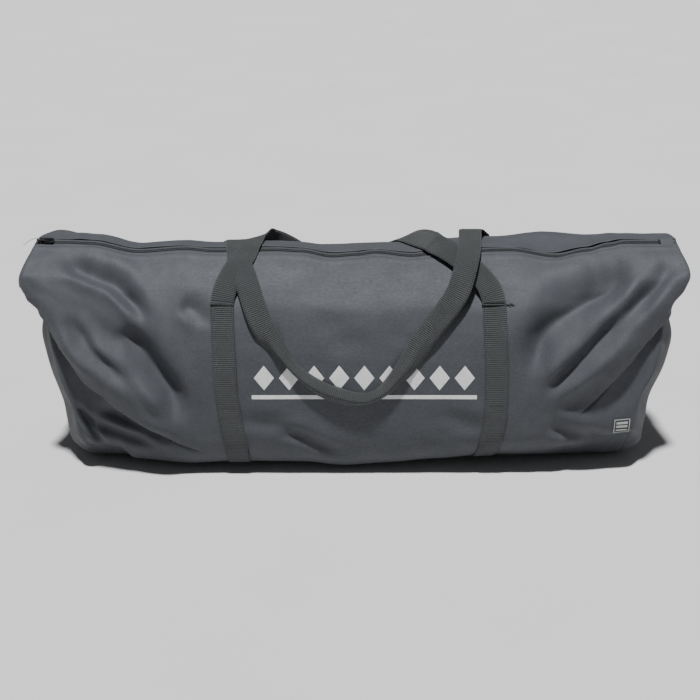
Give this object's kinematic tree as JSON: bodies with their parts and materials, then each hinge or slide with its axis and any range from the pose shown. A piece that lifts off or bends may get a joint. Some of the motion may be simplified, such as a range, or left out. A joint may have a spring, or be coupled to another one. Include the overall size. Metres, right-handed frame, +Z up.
{
  "type": "lawn game set in a zipped carry bag",
  "caption": "Soft carry bag for a lawn game set, zipped shut, with two sewn webbing handles folded over its top and the poles, rolled net and balls packed inside.",
  "frame": {"origin": "under the middle of the bag, on the surface that the bag stands on", "axes": "+X along the bag from the end where the closed zip has its slider to the other end, -Y out of the printed front, +Z up"},
  "size_m": [1.0948, 0.3596, 0.3917],
  "materials": {
    "bag_fabric": "matt coated polyester canvas",
    "binding_tape": "matt woven tape",
    "zip_tape": "matt woven tape",
    "zip_coil": "satin nylon",
    "zip_metal": "black painted zinc",
    "light_cord": "loosely twisted cord",
    "webbing": "ribbed polypropylene webbing",
    "thread": "sewing thread",
    "print_ink": "screen-printed ink",
    "woven_label": "woven patch with light lines",
    "pole_tube": "powder-coated steel",
    "pole_plastic": "moulded plastic",
    "net_fabric": "rolled mesh",
    "tie_strap": "hook-and-loop tape",
    "ball_rubber": "rubber"
  },
  "bodies": {
    "bag": {"back_bartacks": "thread", "back_handle_riser_left": "webbing", "back_handle_riser_right": "webbing", "back_panel": "bag_fabric", "bottom_panel": "bag_fabric", "corner_label": "woven_label", "frame_pole_1": "pole_tube", "frame_pole_2": "pole_tube", "frame_pole_3": "pole_tube", "frame_pole_4": "pole_tube", "frame_pole_5": "pole_tube", "frame_pole_6": "pole_tube", "frame_pole_7": "pole_tube", "frame_pole_8": "pole_tube", "front_bartacks": "thread", "front_handle_riser_left": "webbing", "front_handle_riser_right": "webbing", "front_panel": "bag_fabric", "front_print": "print_ink", "game_ball_1": "ball_rubber", "game_ball_2": "ball_rubber", "girth_webbing_left": "webbing", "girth_webbing_right": "webbing", "left_end_panel": "bag_fabric", "left_seam_tape": "binding_tape", "net_roll": "net_fabric", "net_tie_left": "tie_strap", "net_tie_right": "tie_strap", "pole_foot_caps": "pole_plastic", "pole_spigots": "pole_plastic", "pole_tie_left": "tie_strap", "pole_tie_right": "tie_strap", "right_end_panel": "bag_fabric", "right_seam_tape": "binding_tape", "zip_coil_back": "zip_coil", "zip_coil_front": "zip_coil", "zip_end_tab": "bag_fabric", "zip_stop_left": "zip_metal", "zip_stop_right": "zip_metal", "zip_tape_back": "zip_tape", "zip_tape_front": "zip_tape"},
    "slider": {"zip_slider": "zip_metal"},
    "pull": {"pull_tab": "zip_metal", "pull_cord": "light_cord"},
    "front_handle": {"front_handle_loop": "webbing"},
    "back_handle": {"back_handle_loop": "webbing"}
  },
  "joints": [
    {"name": "zip_slide", "type": "slide", "parent": "bag", "child": "slider", "axis": [1, 0, 0], "range_m": [0, 1]},
    {"name": "pull_swing", "type": "hinge", "parent": "slider", "child": "pull", "pos_m": [-0.5105, -0.02968, 0.38086], "axis": [0, 0.9613, 0.2756], "range_deg": [0, 150]},
    {"name": "back_handle_swing", "type": "hinge", "parent": "bag", "child": "back_handle", "pos_m": [-0.011, -0.088, 0.368], "axis": [-1, 0, 0], "range_deg": [0, 150]},
    {"name": "front_handle_swing", "type": "hinge", "parent": "bag", "child": "front_handle", "pos_m": [-0.015, 0.072, 0.388], "axis": [1, 0, 0], "range_deg": [0, 150]}
  ]
}
